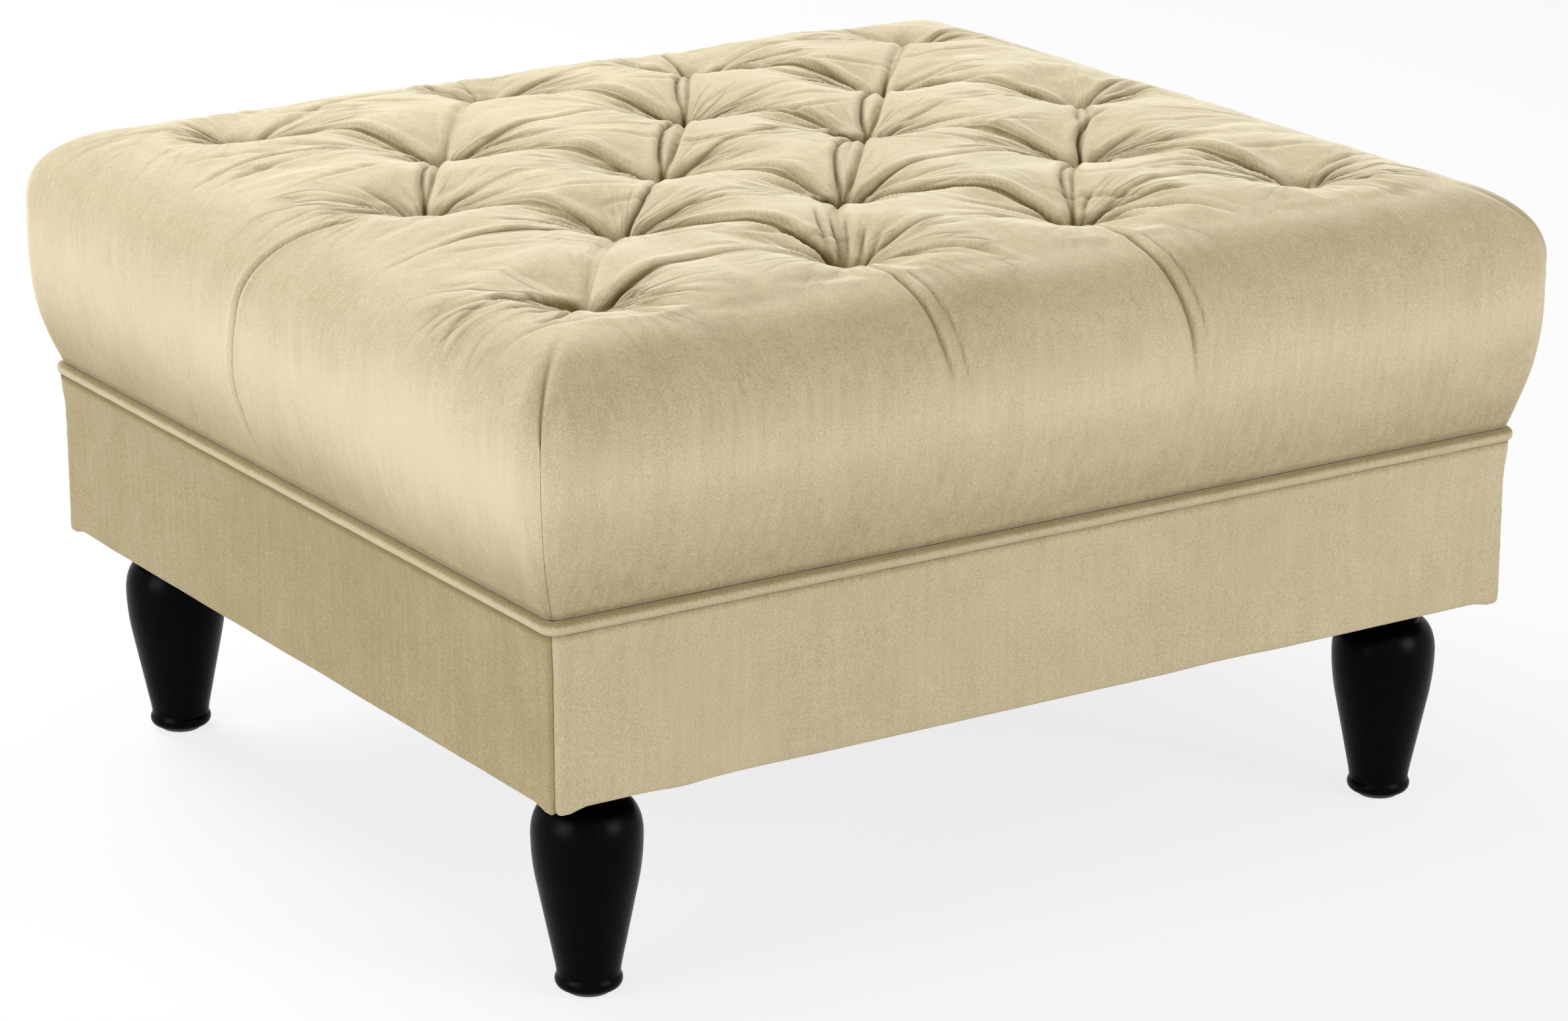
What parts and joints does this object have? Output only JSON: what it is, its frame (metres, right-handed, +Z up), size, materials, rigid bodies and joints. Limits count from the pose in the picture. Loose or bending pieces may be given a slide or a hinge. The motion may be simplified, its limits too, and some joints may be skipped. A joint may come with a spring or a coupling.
{
  "type": "stool",
  "caption": "Deep-tufted square footstool: rolled velvet seat over a piped, upholstered box base on turned, tapered legs.",
  "frame": {"origin": "on the floor, under the middle of the seat", "axes": "+Z up, +X along the longer side of the seat, -Y towards the front"},
  "size_m": [0.796, 0.731, 0.449],
  "materials": {
    "velvet": "champagne velvet with a short soft pile",
    "piping_velvet": "the same velvet wrapped round a cord",
    "fleece": "white polyester fleece",
    "foam": "cream upholstery foam",
    "plywood": "raw birch plywood",
    "pine": "raw planed pine",
    "twine": "waxed twine",
    "black_cloth": "thin non-woven cloth, matt",
    "black_lacquer": "turned beech in satin black lacquer",
    "zinc_steel": "zinc-plated",
    "glide_plastic": "matt black plastic"
  },
  "bodies": {
    "root": {"seat_cover": "velvet", "seat_wadding": "fleece", "seat_foam": "foam", "deck_board": "plywood", "tuft_anchors": "twine", "tuft_twines": "twine", "tuft_toggles": "pine", "seat_piping": "piping_velvet", "front_rail": "pine", "back_rail": "pine", "left_rail": "pine", "right_rail": "pine", "cross_rail_left": "pine", "cross_rail_right": "pine", "corner_block_front_left": "pine", "corner_block_front_right": "pine", "corner_block_back_left": "pine", "corner_block_back_right": "pine", "rail_fleece": "fleece", "front_panel": "velvet", "back_panel": "velvet", "left_panel": "velvet", "right_panel": "velvet", "dust_cover": "black_cloth", "leg_front_left": "black_lacquer", "leg_front_right": "black_lacquer", "leg_back_left": "black_lacquer", "leg_back_right": "black_lacquer", "leg_bolts": "zinc_steel", "tee_nuts": "zinc_steel", "leg_glides": "glide_plastic", "frame_screws": "zinc_steel", "deck_screws": "zinc_steel"}
  },
  "joints": []
}
